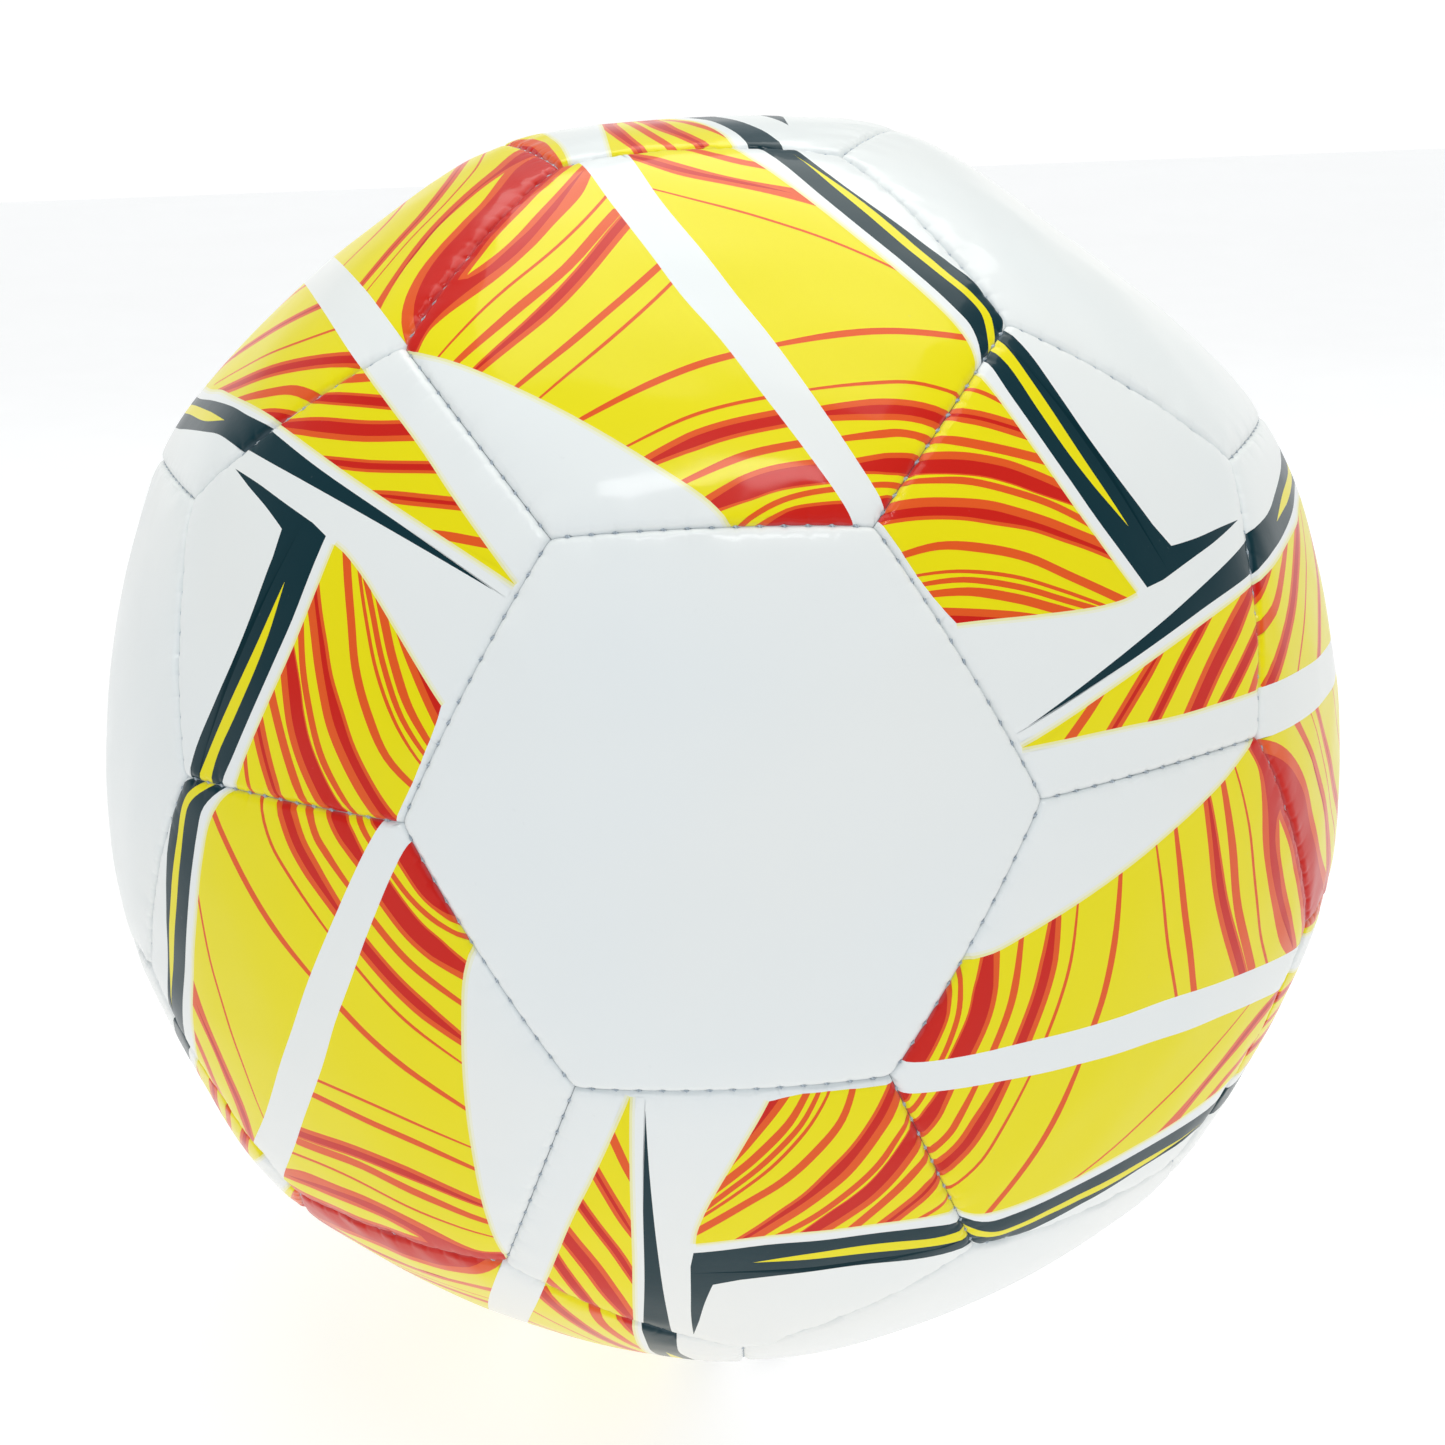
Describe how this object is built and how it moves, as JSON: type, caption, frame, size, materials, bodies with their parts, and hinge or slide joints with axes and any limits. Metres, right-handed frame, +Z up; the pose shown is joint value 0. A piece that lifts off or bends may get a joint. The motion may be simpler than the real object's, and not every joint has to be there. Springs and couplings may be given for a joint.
{
  "type": "soccer ball",
  "caption": "Round sewn soccer ball: glossy white hexagon and pentagon panels printed with yellow and red streaks and dark bands, over an air bladder with a needle valve.",
  "frame": {"origin": "the ball's centre, which is the centre of its box", "axes": "+Z up, through the middle of the top pentagon; the ball stands on the opposite pentagon; -Y is the side of the plain white front hexagon; the valve is in the upper pentagon that faces +Y"},
  "size_m": [0.2204, 0.219, 0.218],
  "materials": {
    "skin_white": "glossy white PVC skin with a fine grain, rolled down at the seams",
    "skin_printed": "glossy PVC skin printed yellow with orange and red streaks, white bands and dark green-blue stripes",
    "thread": "waxed polyester sewing thread, pale grey",
    "bladder_rubber": "matt black butyl rubber with a dusting of talc",
    "valve_rubber": "satin moulded black rubber",
    "plug_rubber": "satin black rubber, slightly oiled",
    "washer_cloth": "unbleached woven cotton, rubberised on one side"
  },
  "bodies": {
    "ball": {"pentagon_panel_top": "skin_printed", "pentagon_panel_upper_1": "skin_printed", "pentagon_panel_upper_2": "skin_printed", "pentagon_panel_upper_3": "skin_printed", "pentagon_panel_upper_4": "skin_printed", "pentagon_panel_upper_5": "skin_printed", "pentagon_panel_lower_1": "skin_printed", "pentagon_panel_lower_2": "skin_printed", "pentagon_panel_lower_3": "skin_printed", "pentagon_panel_lower_4": "skin_printed", "pentagon_panel_lower_5": "skin_printed", "pentagon_panel_base": "skin_printed", "hexagon_panel_top_1": "skin_white", "hexagon_panel_top_2": "skin_printed", "hexagon_panel_top_3": "skin_printed", "hexagon_panel_top_4": "skin_printed", "hexagon_panel_top_5": "skin_white", "hexagon_panel_upper_1": "skin_printed", "hexagon_panel_upper_2": "skin_printed", "hexagon_panel_upper_3": "skin_white", "hexagon_panel_upper_4": "skin_white", "hexagon_panel_upper_5": "skin_printed", "hexagon_panel_lower_1": "skin_printed", "hexagon_panel_lower_2": "skin_white", "hexagon_panel_lower_3": "skin_white", "hexagon_panel_lower_4": "skin_printed", "hexagon_panel_lower_5": "skin_printed", "hexagon_panel_bottom_1": "skin_white", "hexagon_panel_bottom_2": "skin_printed", "hexagon_panel_bottom_3": "skin_printed", "hexagon_panel_bottom_4": "skin_printed", "hexagon_panel_bottom_5": "skin_white", "seam_thread_lower": "thread", "seam_thread_closing": "thread", "seam_thread_upper": "thread", "bladder": "bladder_rubber", "valve_body": "valve_rubber", "valve_washer": "washer_cloth"},
    "valve_plug": {"valve_plug": "plug_rubber"}
  },
  "joints": [
    {"name": "valve_plug_slide", "type": "slide", "parent": "ball", "child": "valve_plug", "axis": [0, 0.8944, 0.4472], "range_m": [0, 0.025]}
  ]
}
